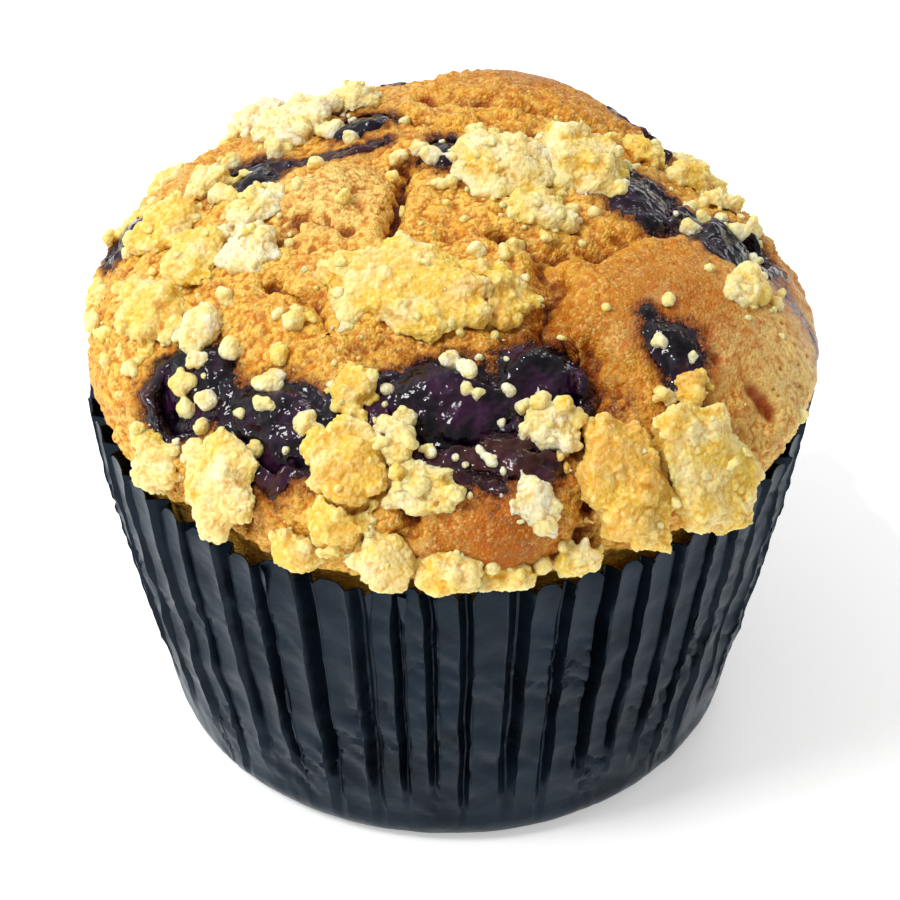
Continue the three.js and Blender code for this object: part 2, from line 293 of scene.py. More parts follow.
world = bpy.data.worlds.new("white_room")
world.use_nodes = True
tree = world.node_tree
tree.nodes.clear()
sight = add_node(tree, "ShaderNodeTexCoord").outputs["Generated"]
sides = add_node(tree, "ShaderNodeSeparateXYZ", {"Vector": sight}).outputs
across = add_node(
    tree, "ShaderNodeMapRange", {0: sides["X"], 1: -0.8, 2: 0.8, 3: ROOM_LEFT, 4: ROOM_RIGHT}
)
behind = add_node(
    tree, "ShaderNodeMapRange", {0: sides["Y"], 1: -0.9, 2: 0.3, 3: ROOM_FRONT, 4: 1.0}
)
brightness = add_node(
    tree, "ShaderNodeMath", {0: across.outputs[0], 1: behind.outputs[0]}, operation="MULTIPLY"
).outputs[0]
room = add_node(
    tree, "ShaderNodeBackground", {"Color": linear("#FFFFFF"), "Strength": brightness}
)
add_node(tree, "ShaderNodeOutputWorld", {"Surface": room.outputs[0]})
bpy.context.scene.world = world
bpy.context.scene.view_settings.view_transform = "Standard"
print("room light from", ROOM_RIGHT, "to", ROOM_LEFT)

# %% [markdown]
# ## Refining a plain solid
#
# Each solid of the frame is a coarse closed shape. Blender's voxel remesh turns it, and anything
# laid into it, into one even skin of small squares, and a few rounds of smoothing take away the
# flat facets. That even skin is what fine bumps and pores need.


def applied(made):
    """Makes an object's modifiers permanent."""
    bpy.context.view_layer.update()
    graph = bpy.context.evaluated_depsgraph_get()
    mesh = bpy.data.meshes.new_from_object(made.evaluated_get(graph))
    made.modifiers.clear()
    made.data = mesh
    mesh.name = made.name
    mesh.shade_smooth()
    return made


def refined(name, parts, voxel, smoothing):
    """One even skin over all the given (points, faces), with squares of about that many mm."""
    points, faces = [], []
    first = 0
    for part_points, part_faces in parts:
        points.append(np.asarray(part_points))
        faces += [[first + i for i in face] for face in part_faces]
        first += len(part_points)
    made = mesh_object(name, np.concatenate(points), faces)
    skin = made.modifiers.new("skin", "REMESH")
    skin.mode = "VOXEL"
    skin.voxel_size = voxel * MM * 1
    soft = made.modifiers.new("soft", "SMOOTH")
    soft.factor = 0.5
    soft.iterations = smoothing
    return applied(made)


def solid(node):
    """The points and faces of one of the frame's solids."""
    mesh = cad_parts[node].data
    return points_of(mesh), faces_of(mesh)


def search_tree(parts):
    """A search tree over several (points, faces)."""
    points, faces = [], []
    for some, sides in parts:
        faces += [[len(points) + i for i in side] for side in sides]
        points += [tuple(p) for p in some]
    return BVHTree.FromPolygons(points, faces)


def distance_to(tree, points, reach):
    """Each point's distance to the nearest solid in the tree, up to the reach."""
    found = [tree.find_nearest(Vector(p), reach)[3] for p in points]
    return np.array([reach if d is None else d for d in found])


BERRIES = sorted(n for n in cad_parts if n.startswith("blueberry"))
LUMPS = sorted(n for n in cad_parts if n.startswith("streusel"))
lump_tree = search_tree(solid(n) for n in LUMPS)
print(len(BERRIES), "berries and", len(LUMPS), "lumps of streusel")

# %% [markdown]
# ## The cup's sizes
#
# The cup comes last, because it is the outermost piece, but the cake has to know where the foil
# will be. The wall leans outwards in an almost straight line above a rounded foot.

# %% Cup sizes, from the frame
cup_low, cup_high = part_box("baking_cup")
CUP_TOP = 38 * MM
RIM_RADIUS = (cup_high.x - cup_low.x) / 2
BASE_RADIUS = 24.8 * MM
FOOT_RADIUS = 27.8 * MM
FOOT_HEIGHT = 4 * MM
BOW = 0.3 * MM
# How far the cake stays behind the pleats' outer faces, in millimetres, above and low in the cup.
GAP_HIGH, GAP_LOW = 1.9, 3.1
# How steeply the dome may spread above the rim.
SPREAD = 2.6


def crest_radius(z):
    """Radius of the pleats' outer faces at each height."""
    below = np.clip(1 - z / FOOT_HEIGHT, 0, 1)
    foot = BASE_RADIUS + (FOOT_RADIUS - BASE_RADIUS) * np.sqrt(1 - below ** 2)
    up = np.clip((z - FOOT_HEIGHT) / (CUP_TOP - FOOT_HEIGHT), 0, 1)
    return foot + (RIM_RADIUS - FOOT_RADIUS) * up + BOW * np.sin(math.pi * up)


def inside_cup(points):
    """Points with any that would touch the foil pulled in behind it."""
    height = points[:, 2]
    gap = GAP_HIGH + (GAP_LOW - GAP_HIGH) * (1 - ease(height, 30 * MM, 37 * MM))
    over_rim = np.maximum(height - CUP_TOP - 0.4 * MM, 0)
    limit = crest_radius(height) - gap * MM + SPREAD * over_rim
    radius = np.hypot(points[:, 0], points[:, 1])
    pull = np.where(radius > limit, limit / np.maximum(radius, MM), 1)
    return points * np.stack([pull, pull, np.ones_like(pull)], 1)


print("rim radius", round(RIM_RADIUS / MM, 2), "mm")

# %% [markdown]
# ## The cake
#
# The cake is one baked piece. Its dome is a skin that set while the batter below still rose, so it
# is lobed and torn, with soft creases between the lobes and fine pores where steam left. The frame
# gives the lobes and the pockets where berries sit. The skin over the dome gets squares half as
# wide as those inside the cup, which never show.

# %% Cake skin
CAKE_VOXEL = 0.46
CAKE_SMOOTHING = 8
RIM_Z = CUP_TOP

cake = refined("cake", [solid("muffin_body")], CAKE_VOXEL, CAKE_SMOOTHING)
fine = bmesh.new()
fine.from_mesh(cake.data)
dome_edges = [e for e in fine.edges if min(v.co.z for v in e.verts) > RIM_Z - 3 * MM]
bmesh.ops.subdivide_edges(fine, edges=dome_edges, cuts=1, use_grid_fill=True)
fine.to_mesh(cake.data)
fine.free()
cake.data.shade_smooth()
print("cake", len(cake.data.polygons), "faces")

# %% [markdown]
# The bumps are layered by size, as on the real crust: the lobes that swelled up, the tears between
# them, swellings a fingertip wide, crumbs, and pores. The lobes and the tears have their own
# places, and the rest comes from noise, which never looks laid by hand. All of it fades out at the
# rim, where the cup holds the cake.

# %% Lobes and tears
# Turn, tilt and spread in degrees, and height in millimetres.
LOBES = [
    (58, 48, 15, 1.0), (70, 62, 15, 0.4), (8, 68, 9, 1.5), (-12, 71, 7, 0.5), (162, 54, 15, 0.9),
    (-100, 26, 9, 0.9), (-53, 44, 9, 0.6), (20, 22, 9, 0.5),
]
# A path of places, and its width and depth in millimetres.
TEARS = [
    ([(-150, 17), (-80, 11), (-52, 15)], 1.0, 2.2),
    ([(50, 15), (58, 23), (68, 30), (84, 36), (92, 42)], 1.3, 1.9),
    ([(54, 24), (40, 30), (29, 36), (29, 43)], 1.7, 2.6),
    ([(22, 56), (32, 50), (36, 43)], 1.2, 1.7),
    ([(160, 27), (150, 33), (136, 40), (126, 46)], 1.1, 1.6),
    ([(-165, 33), (-176, 28), (160, 27)], 1.0, 1.2), ([(22, 66), (20, 72)], 1.0, 1.6),
    ([(-6, 64), (-8, 72)], 0.8, 1.2), ([(-36, 66), (-33, 72)], 1.0, 1.4),
    ([(-60, 38), (-46, 36), (-34, 40)], 0.9, 1.3), ([(-75, 36), (-84, 28), (-70, 22)], 0.8, 1.0),
    ([(-140, 60), (-155, 50), (-170, 54)], 1.1, 1.6),
    ([(120, 66), (138, 58), (160, 60)], 1.2, 1.7),
    ([(-174, 38), (166, 38), (150, 40), (140, 44)], 1.1, 1.5),
]
# The dome's usual distance from the heart, in millimetres.
REACH = 33

skin_points = points_of(cake.data)
skin_normals = normals_of(cake.data)
on_dome = ease(skin_points[:, 2], RIM_Z - 3 * MM, RIM_Z + 1.5 * MM)
dome = np.flatnonzero(on_dome > 0)
here = skin_points[dome]


def along(points, path, width, ragged=0.35):
    """1 on a path of places over the dome, fading over the width in millimetres."""
    rays = points - HEART
    rays = rays / np.linalg.norm(rays, axis=1)[:, None]
    places = [toward(*place) for place in path]
    nearest = np.full(len(points), 9.0)
    for start, end in zip(places, places[1:]):
        leg = end - start
        share = np.clip((rays - start) @ leg / (leg @ leg), 0, 1)
        foot = start + share[:, None] * leg
        nearest = np.minimum(nearest, np.linalg.norm(rays - foot, axis=1))
    distance = nearest * REACH + ragged * width * noise_at(points, 1.8 * width, 31)
    return np.exp(-(np.maximum(distance, 0) / width) ** 2)


lobes = sum(height * nearness(here, *place) for *place, height in LOBES)
tears = np.max([depth * along(here, path, width) for path, width, depth in TEARS], axis=0)
skin_points[dome] += skin_normals[dome] * ((lobes - tears) * on_dome[dome] * MM)[:, None]
set_points(cake.data, skin_points)
print("tears down to", round(float(tears.max()), 1), "mm")

# %% [markdown]
# Crumb is bubbles of steam with torn walls between them, so it is rough at every size down to the
# grain. A displace modifier could push it about with one texture, but several sizes of noise are
# stacked here, each finer and lower, and packed grains lie over them. Where the skin stayed whole
# all of that is faint. Small round pores are everywhere, and a few deeper pits are burst bubbles.

# %% Grains
def grains(points, size, seed=0):
    """Packed grains about this many millimetres wide: 0 where they meet, up to 1 on top."""
    scale = per_mm(size)
    shift = Vector((seed * 4.7, seed * 9.1, seed * 6.3))
    risen = np.empty(len(points))
    for i, point in enumerate(points):
        distances, centres = noise.voronoi(Vector(point) * scale + shift)
        border = min(1, 2.2 * (distances[1] - distances[0]))
        risen[i] = border * (0.65 + 0.35 * noise.cell(centres[0] * 5.3))
    return risen


print("a grain rises to", round(float(grains(here[:200], 1).max()), 2), "of its height")


# %% Crumb and pores
# Turn, tilt and spread of each whole patch.
WHOLE_SKIN = [(62, 50, 20), (80, 66, 16), (160, 62, 16), (8, 69, 8)]
PORE_CELL = 1.5
PORE_DEPTH = 0.3
# Where a pore's cell number is below this, there is no pore.
CLOSED_BELOW = 0.3
# Turn and tilt, then radius and depth in millimetres.
PITS = [
    (56, 61, 0.8, 0.7), (56.5, 63, 0.9, 0.8), (57, 65, 0.7, 0.7), (60, 74, 0.9, 0.8),
    (57, 51, 0.6, 0.6), (54, 54, 0.6, 0.6), (-174, 40, 0.9, 0.5), (150, 40, 1.0, 0.5),
]
# The layers of the torn crumb, and of its packed grains: width, height and seed.
TORN_LAYERS = [(4, 0.6, 2), (2.1, 0.42, 3), (1.3, 0.26, 13), (0.75, 0.2, 14)]
GRAIN_LAYERS = [(1.1, 0.26, 2), (0.6, 0.15, 4)]
FOLD_HEIGHT = 0.22


def pore_depth(point):
    """Round pores in about a third of the cells of a cell pattern."""
    distances, centres = noise.voronoi(Vector(point) * per_mm(PORE_CELL))
    open_share = noise.cell(centres[0] * 3.7)
    if open_share < CLOSED_BELOW:
        return 0
    width = 0.12 + 0.2 * open_share
    return max(0, 1 - distances[0] / width)


here = points_of(cake.data)[dome]
normals = normals_of(cake.data)[dome]
whole = np.max([nearness(here, *patch) for patch in WHOLE_SKIN], axis=0)
torn = 1 - 0.8 * ease(whole, 0.3, 0.8)
torn = np.clip(torn + 0.35 * noise_at(here, 6, 12), 0.15, 1.2)
swell = 0.5 * noise_at(here, 9, 1)
crumb = stacked(here, TORN_LAYERS) + stacked(here, GRAIN_LAYERS, grains) - 0.2
crumb += FOLD_HEIGHT * (0.4 - np.abs(noise_at(here, 1.6, 15)))
pores = PORE_DEPTH * np.array([pore_depth(p) for p in here])
pits = sum(
    depth * nearness(here, turn, tilt, math.degrees(radius / REACH))
    for turn, tilt, radius, depth in PITS
)
pits = pits * np.clip(0.85 + 0.8 * noise_at(here, 2.2, 21), 0, 1.3)
push = (swell + torn * crumb - pores - pits) * on_dome[dome] * MM
pit = np.zeros(len(skin_points))
pit[dome] = pits
skin_points = points_of(cake.data)
skin_points[dome] += normals * push[:, None]
set_points(cake.data, inside_cup(skin_points))
print("crumb from", round(push.min() / MM, 1), "to", round(push.max() / MM, 1), "mm")

# %% [markdown]
# ## Where the juice ran
#
# Juice boils out of the burst berries and soaks the crust round them. Each run of juice is a path
# with a width, and each berry adds a ring of its own. The edge is broken up by noise, since the
# juice creeps along the crumb. The value is above 1 where the crust is covered, and between 0 and
# 1 where it is only stained.

# %% Juice map
FULL_JUICE = 2.0
# A path of places, its width in millimetres, and how much juice it carries.
JUICE_RUNS = [
    ([(-12, 50), (0, 51), (14, 53), (23, 52)], 3.6, FULL_JUICE),
    ([(-6, 57), (8, 58), (17, 57)], 2.2, FULL_JUICE),
    ([(-57, 62), (-50, 58), (-40, 57), (-28, 56)], 2.3, FULL_JUICE),
    ([(-34, 59), (-29, 63)], 1.8, FULL_JUICE),
    ([(-14, 45), (-24, 49)], 1.2, FULL_JUICE),
    ([(-113, 48), (-120, 43), (-125, 36), (-135, 30), (-152, 26)], 1.25, FULL_JUICE),
    ([(108, 35), (105, 42), (101, 47)], 1.7, FULL_JUICE),
    ([(98, 49), (94, 54), (91, 59)], 1.5, FULL_JUICE),
    ([(51, 44), (49, 50), (44, 57)], 1.6, 1.5),
    ([(-177, 13), (180, 20)], 1.1, FULL_JUICE),
    ([(150, 68), (141, 61), (136, 62)], 1.2, 1.5),
    ([(-161, 68), (-170, 61), (-174, 62)], 1.3, 1.5),
    ([(88, 55), (82, 62), (78, 69)], 2.0, 0.85),
]
# How wide each berry's ring of juice is, in millimetres.
RING = {"blueberry_right": 0.2, "blueberry_crown_back": 0.1, "blueberry_crown": 0.1}
USUAL_RING = 0.9

points = points_of(cake.data)
juice = np.zeros(len(points))
wobble = stacked(points[dome], [(3, 0.35, 8), (1.1, 0.22, 9)])
for path, width, amount in JUICE_RUNS:
    juice[dome] = np.maximum(juice[dome], amount * along(points[dome], path, width))
for berry in BERRIES:
    low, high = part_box(berry)
    middle = np.array((low + high) / 2)
    reach = max(high - low) / 2 + 5 * MM
    close = np.flatnonzero(np.linalg.norm(points - middle, axis=1) < reach)
    gap = distance_to(search_tree([solid(berry)]), points[close], 9 * MM) / MM
    ring = 1.35 + 0.6 * (RING.get(berry, USUAL_RING) - gap)
    juice[close] = np.maximum(juice[close], np.clip(ring, 0, FULL_JUICE))
juice[dome] = np.clip(juice[dome] + wobble * (juice[dome] > 0.02), 0, FULL_JUICE)
print("juice covers", round(float((juice > 1).mean()) * 100, 1), "% of the skin")

# %% [markdown]
# ## What the crust knows about itself
#
# A baked crust is brown where it stood proud in the oven, golden in between, floury pale in
# places, yellow beside the butter of a lump, and dark where juice ran. Painted shade makes it deep
# orange inside its tears and hollows and dark red-brown in its pits, and adds to the brown on the
# right side, away from the window. All of that could be painted by hand. Here the brown and the
# pale patches have their own places, and the rest is measured on the skin. Each is stored as a
# number at every point, which the crust's material then reads.

# %% Browning, painted shade and depth
# The brown patches are real browning where the lobes stood proud, and also painted shade, which is
# why most of them lie on the right side, away from the window.
# Turn, tilt and spread of each patch in degrees, and how strong it is.
BROWNED_AND_SHADED = [
    (60, 50, 22, 0.9), (70, 68, 20, 0.5), (7, 68, 12, 1.15), (30, 38, 10, 1.0),
    (162, 58, 17, 0.9), (100, 62, 16, 0.5), (-34, 68, 9, 0.6), (-150, 60, 22, 0.6),
    (140, 62, 22, 0.7),
]
# The same, for the pale patches.
PALED = [(-94, 23, 14, 0.7), (-55, 43, 11, 0.12), (-67, 69, 14, 0.15), (68, 69, 15, 0.85)]
# How far a lump's butter spreads into the crust.
BUTTER_REACH = 5 * MM


def patched(patches):
    """The strongest of several patches at each point of the skin."""
    return np.max([amount * nearness(points, *place) for *place, amount in patches], axis=0)


brown_and_shade = patched(BROWNED_AND_SHADED)
whole = np.max([nearness(points, *patch) for patch in WHOLE_SKIN], axis=0)
butter = 1 - distance_to(lump_tree, points, BUTTER_REACH) / BUTTER_REACH
store(cake.data, "brown_and_shade", brown_and_shade)
store(cake.data, "pale", patched(PALED))
store(cake.data, "butter", butter)
store(cake.data, "juice", juice)
store(cake.data, "whole", whole)
store(cake.data, "pit", pit)
store(cake.data, "fine_hollow", hollow_of(cake.data, 4) / MM)
store(cake.data, "hollow", hollow_of(cake.data, 45) / MM)
print("browned", round(float((brown_and_shade > 0.5).mean()) * 100, 1), "% of the skin")

# %% [markdown]
# ## Crust
#
# Baked batter, browned by sugar and egg. The eye reads it as warm and slightly waxy: light goes a
# millimetre into the crumb and comes back orange, so it has some subsurface light. It is golden
# between the lobes and chestnut on them, and part of the chestnut is painted shade on the right
# side. It is speckled with grains about 0.3 mm wide, and painted shade darkens its pores in cells
# of 0.55 mm. Painted shade makes its hollows a deep orange, and near a berry the crust is soaked:
# dark, purple-brown and wet. One colour picture could hold all this, but layers of noise are used
# instead, because they have no seam and stay sharp from close by.

# %% Crust material
CRUST_GOLD = linear("#F3BB3C")
CRUST_BUTTERED = linear("#F7CE58")
CRUST_PALE = linear("#FBDC84")
CRUST_BROWN = linear("#A85C08")
# Deep orange: random patches and grains of the crust, and a painted shade in its fine hollows.
CRUST_ORANGE_AND_SHADE = linear("#C06404")
# Painted shade in the tears and the deep hollows.
CRUST_HOLLOW_SHADE = linear("#642602")
# Painted shade inside the small round pores.
PORE_SHADE = linear("#6B2406")
# Painted shade, a dark red-brown, inside the deep pits.
PIT_SHADE_RED = linear("#9C3E08")
STAINED = linear("#7A3A12")
SOAKED = linear("#1E0A14")

crust, tree = start_material("baked_crust")
where = add_node(tree, "ShaderNodeTexCoord").outputs["Object"]
read = {
    name: add_node(tree, "ShaderNodeAttribute", attribute_name=name).outputs["Fac"]
    for name in ("brown_and_shade", "pale", "juice", "whole", "pit", "hollow", "fine_hollow", "butter")
}
clouds, speckle, blotch = [
    add_node(
        tree, "ShaderNodeTexNoise", {"Vector": where, "Scale": per_mm(size), "Detail": detail}
    ).outputs["Fac"]
    for size, detail in ((5, 4), (0.9, 4), (3, 6))
]
cells = add_node(tree, "ShaderNodeTexVoronoi", {"Vector": where, "Scale": per_mm(0.3)})
cell_tone = add_node(
    tree, "ShaderNodeSeparateColor", {"Color": cells.outputs["Color"]}
).outputs[0]
pore = add_node(
    tree, "ShaderNodeTexVoronoi", {"Vector": where, "Scale": per_mm(0.55)}
).outputs["Distance"]
browning_and_shade = add_node(
    tree, "ShaderNodeMath", {0: clouds, 1: 1.3, 2: read["brown_and_shade"]}, operation="MULTIPLY_ADD"
).outputs[0]


def layered(tree, tone, layers):
    """Colours laid one over another. Each is (colour, value, low, high, share): its share of the
    mix is 0 where the value is at the low figure and its full share at the high one."""
    for colour, value, low, high, share in layers:
        amount = add_node(tree, "ShaderNodeMapRange", {0: value, 1: low, 2: high, 4: share})
        mix = {0: amount.outputs[0], 6: tone, 7: colour}
        tone = add_node(tree, "ShaderNodeMix", mix, data_type="RGBA").outputs[2]
    return tone


fleck = add_node(
    tree, "ShaderNodeMath", {0: read["whole"], 1: -0.3, 2: cell_tone}, operation="MULTIPLY_ADD"
).outputs[0]
flour = add_node(
    tree, "ShaderNodeMath", {0: speckle, 1: 0.8, 2: read["pale"]}, operation="MULTIPLY_ADD"
).outputs[0]
tone = layered(
    tree,
    CRUST_GOLD,
    [
        (CRUST_BUTTERED, read["butter"], 0.1, 0.95, 0.85),
        # Brown: real browning, and painted shade on the right side.
        (CRUST_BROWN, browning_and_shade, 0.55, 1.65, 1),
        (CRUST_PALE, flour, 0.45, 1.1, 0.9),
        (CRUST_ORANGE_AND_SHADE, clouds, 0.45, 0.32, 0.5),
        (CRUST_PALE, clouds, 0.56, 0.7, 0.35),
        (CRUST_ORANGE_AND_SHADE, speckle, 0.5, 0.36, 0.6),
        (CRUST_PALE, fleck, 0.5, 1.0, 0.6),
        (CRUST_ORANGE_AND_SHADE, cell_tone, 0.35, 0.0, 0.45),
        # Painted shade: deep orange in the fine hollows.
        (CRUST_ORANGE_AND_SHADE, read["fine_hollow"], -0.01, 0.09, 0.8),
        # Painted shade in the pores.
        (PORE_SHADE, pore, 0.16, 0.04, 0.55),
        (CRUST_BROWN, blotch, 0.62, 0.72, 0.5),
        # Painted shade: dark in the tears and the deep hollows.
        (CRUST_HOLLOW_SHADE, read["hollow"], 0.1, 0.7, 1),
        # Painted shade in the deep pits.
        (PIT_SHADE_RED, read["pit"], 0.15, 0.6, 0.8),
    ],
)
creep = add_node(
    tree, "ShaderNodeMath", {0: speckle, 1: 1.5, 2: read["juice"]}, operation="MULTIPLY_ADD"
).outputs[0]
creep = add_node(
    tree, "ShaderNodeMath", {0: cell_tone, 1: 0.4, 2: creep}, operation="MULTIPLY_ADD"
).outputs[0]
tone = layered(
    tree, tone, [(STAINED, creep, 1.15, 1.7, 0.9), (SOAKED, creep, 1.75, 2.1, 0.97)]
)
dryness = add_node(
    tree, "ShaderNodeMapRange", {0: creep, 1: 1.1, 2: 1.8, 3: 0.42, 4: 0.14}
).outputs[0]
pore_rise = add_node(tree, "ShaderNodeMapRange", {0: pore, 1: 0, 2: 0.25, 4: 0.7})
surface = add_node(
    tree,
    "ShaderNodeMath",
    {0: cells.outputs["Distance"], 1: -1.1, 2: pore_rise.outputs[0]},
    operation="MULTIPLY_ADD",
).outputs[0]
surface = add_node(
    tree, "ShaderNodeMath", {0: cell_tone, 1: 0.5, 2: surface}, operation="MULTIPLY_ADD"
).outputs[0]
bump = add_node(
    tree, "ShaderNodeBump", {"Strength": 0.7, "Distance": 0.2 * MM, "Height": surface}
)
shader = add_node(
    tree,
    "ShaderNodeBsdfPrincipled",
    {
        "Base Color": tone,
        "Roughness": dryness,
        "Normal": bump.outputs["Normal"],
        "IOR": 1.45,
        "Specular IOR Level": 0.28,
        "Subsurface Weight": 0.2,
        "Subsurface Radius": (1.0, 0.45, 0.15),
        "Subsurface Scale": 0.9 * MM,
    },
)
add_node(tree, "ShaderNodeOutputMaterial", {"Surface": shader.outputs["BSDF"]})
cake.data.materials.append(crust)
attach(cake, "root")
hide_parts("muffin_body")
print("crust of", len(tree.nodes), "nodes")

# %% [markdown]
# ## Berries and their juice
#
# A baked blueberry bursts and slumps into a pool of its own juice. Balls set in the crust would
# look like beads, so berry and juice are made as one wet skin, and neighbouring berries share a
# pool. A thin slab of juice is lifted off the cake's own skin wherever the juice covers it. Each
# berry is swollen to fill its pocket and pressed almost level with the crust, and one remesh joins
# them all. Ridged folds, as in boiled skin, break one highlight into many small sparks.

# %% Pools
POOLS = {
    "jam_front": ["front_centre", "front_right"],
    "jam_front_left": ["front_left", "far_left"],
    "jam_right": ["right"],
    "jam_upper_right": ["upper_right", "far_right"],
    "jam_crown_left": ["crown_left", "crown_back"],
    "jam_crown": ["crown"],
    "jam_left_edge": ["left_edge"],
    "jam_back": ["back"],
    "jam_back_left": ["back_left"],
}
# All of these are in millimetres. PROUD is how far a pool's berries stand above the crust.
JUICE_THICK = 0.25
JUICE_SUNK = 0.25
SLAB = 0.6
SWOLLEN = 1.1
POOL_VOXEL = 0.24
PROUD = {"jam_upper_right": 0.7, "jam_crown_left": 0.2, "jam_front": 0.25}
USUAL_PROUD = 0.35
POOL_SMOOTHING = 9
# What is left of the part of a berry that stands above its level.
PRESSED_SHARE = 0.2

points, normals = points_of(cake.data), normals_of(cake.data)
cake_faces = [tuple(p.vertices) for p in cake.data.polygons]
face_juice = np.array([min(juice[i] for i in face) for face in cake_faces])
face_middle = np.array([points[list(face)].mean(0) for face in cake_faces])
berry_middle = {b: solid(b)[0].mean(0) for b in BERRIES}


def owner_of(place):
    """The pool whose berry is nearest to the place."""
    gaps = {b: np.linalg.norm(place - middle) for b, middle in berry_middle.items()}
    nearest = min(gaps, key=gaps.get).removeprefix("blueberry_")
    return next(pool for pool, members in POOLS.items() if nearest in members)


face_out = np.array([p.normal for p in cake.data.polygons])
rays = face_middle - HEART
rays = rays / np.linalg.norm(rays, axis=1)[:, None]
wet = np.flatnonzero((face_juice > 0.75) & ((face_out * rays).sum(1) > 0.7))
owners = [owner_of(face_middle[i]) for i in wet]
raised = (JUICE_THICK * ease(juice, 1.0, 1.5) - JUICE_SUNK * (1 - ease(juice, 0.8, 1.05))) * MM
print(len(wet), "faces of the crust are under juice")


# %% Slabs and pressed berries
def juice_slab(pool):
    """A closed slab over the faces that belong to a pool."""
    faces = [cake_faces[i] for i, owner in zip(wet, owners) if owner == pool]
    used = sorted({i for face in faces for i in face})
    index = {old: new for new, old in enumerate(used)}
    top = points[used] + normals[used] * raised[used][:, None]
    slab = mesh_object("slab", top, [[index[i] for i in face] for face in faces])
    thick = slab.modifiers.new("thick", "SOLIDIFY")
    thick.thickness = SLAB * MM
    thick.offset = -1
    applied(slab)
    shape = points_of(slab.data), faces_of(slab.data)
    bpy.data.objects.remove(slab)
    return shape


def pressed(berry, proud):
    """A berry swollen to fill its pocket, with its top pressed level with the crust round it."""
    some, sides = solid("blueberry_" + berry)
    middle = some.mean(0)
    across = max(np.linalg.norm(some - middle, axis=1))
    some = middle + (some - middle) * (1 + SWOLLEN * MM / across)
    away = np.linalg.norm(points - middle, axis=1)
    near = (away > across * 0.8) & (away < across + 2.5 * MM) & (points[:, 2] > RIM_Z)
    level = np.percentile(np.linalg.norm(points[near] - HEART, axis=1), 65) + proud * MM
    rays = some - HEART
    reach = np.linalg.norm(rays, axis=1)
    lowered = np.where(reach > level, level + (reach - level) * PRESSED_SHARE, reach)
    return HEART + rays * (lowered / reach)[:, None], sides


jams = []
for number, (pool, members) in enumerate(POOLS.items()):
    proud = PROUD.get(pool, USUAL_PROUD)
    parts = [pressed(member, proud) for member in members] + [juice_slab(pool)]
    made = refined(pool, parts, POOL_VOXEL, POOL_SMOOTHING)
    some, out = points_of(made.data), normals_of(made.data)
    folds = 0.28 * noise_at(some, 4, number + 6)
    folds += 0.2 * (0.5 - 2 * np.abs(noise_at(some, 2.6, number)))
    folds += 0.13 * (0.5 - 2 * np.abs(noise_at(some, 1.1, number + 3)))
    set_points(made.data, some + out * folds[:, None] * MM)
    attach(made, "root")
    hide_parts(*["blueberry_" + member for member in members])
    # The last part is the slab, so this is the distance to the berries alone.
    from_berry = distance_to(search_tree(parts[:-1]), points_of(made.data), 3 * MM)
    store(made.data, "film", ease(from_berry, 0.5 * MM, 2.4 * MM))
    jams.append(made)
print(sum(len(made.data.polygons) for made in jams), "faces of berry and juice")

# %% [markdown]
# ## Boiled berry
#
# Boiled blueberry skin and its syrup: nearly black where it is thick, wine purple where light gets
# through, and red-brown where only a thin film lies over the crust, away from any berry. Clear
# syrup over a dark ball would need a second skin, so the depth is in the colour instead. It is
# wet, so its roughness is low, and wrinkles under a millimetre wide scatter the highlights. Here
# and there the grey-blue bloom of the skin is still left, and dulls it.

# %% Berry material
BERRY_BLACK = linear("#0C0610")
BERRY_WINE = linear("#3A1636")
BERRY_BLOOM = linear("#5A5468")
SYRUP_BROWN = linear("#4C2216")

wet_fruit, tree = start_material("boiled_blueberry")
where = add_node(tree, "ShaderNodeTexCoord").outputs["Object"]
clouds, dust, fibre, wrinkle = [
    add_node(
        tree, "ShaderNodeTexNoise", {"Vector": where, "Scale": per_mm(size), "Detail": detail}
    ).outputs["Fac"]
    for size, detail in ((2.4, 4), (3.5, 6), (1.5, 2), (0.7, 0))
]
film = add_node(tree, "ShaderNodeAttribute", attribute_name="film").outputs["Fac"]
thin = add_node(
    tree, "ShaderNodeMath", {0: fibre, 1: 2.0, 2: film}, operation="MULTIPLY_ADD"
).outputs[0]
tone = layered(
    tree,
    BERRY_BLACK,
    [
        (BERRY_WINE, clouds, 0.46, 0.7, 0.9),
        (SYRUP_BROWN, thin, 1.5, 2.3, 0.7),
        (BERRY_BLOOM, dust, 0.62, 0.74, 0.45),
    ],
)
wetness = add_node(
    tree, "ShaderNodeMapRange", {0: dust, 1: 0.62, 2: 0.74, 3: 0.05, 4: 0.25}
).outputs[0]
rippled = add_node(
    tree, "ShaderNodeMath", {0: wrinkle, 1: 0.3, 2: fibre}, operation="MULTIPLY_ADD"
).outputs[0]
bump = add_node(
    tree, "ShaderNodeBump", {"Strength": 0.8, "Distance": 0.5 * MM, "Height": rippled}
)
shader = add_node(
    tree,
    "ShaderNodeBsdfPrincipled",
    {
        "Base Color": tone,
        "Roughness": wetness,
        "IOR": 1.4,
        "Normal": bump.outputs["Normal"],
        "Subsurface Weight": 0.08,
        "Subsurface Radius": (1.0, 0.3, 0.5),
        "Subsurface Scale": 0.5 * MM,
    },
)
add_node(tree, "ShaderNodeOutputMaterial", {"Surface": shader.outputs["BSDF"]})
for made in jams:
    made.data.materials.append(wet_fruit)
print("boiled berry on", len(jams), "pools")

# %% [markdown]
# ## Streusel
#
# Streusel is flour and sugar rubbed with cold butter, squeezed into lumps and baked on top. A lump
# is a cluster of grains from a pinhead to a lentil, fused by melted butter. Noise alone makes a
# stone of it, so each lump is built the way it forms: grains are pressed into the surface of its
# plain solid, a skirt of them lies on the crust round it, and one remesh fuses what touches. The
# underside sinks into the crust.

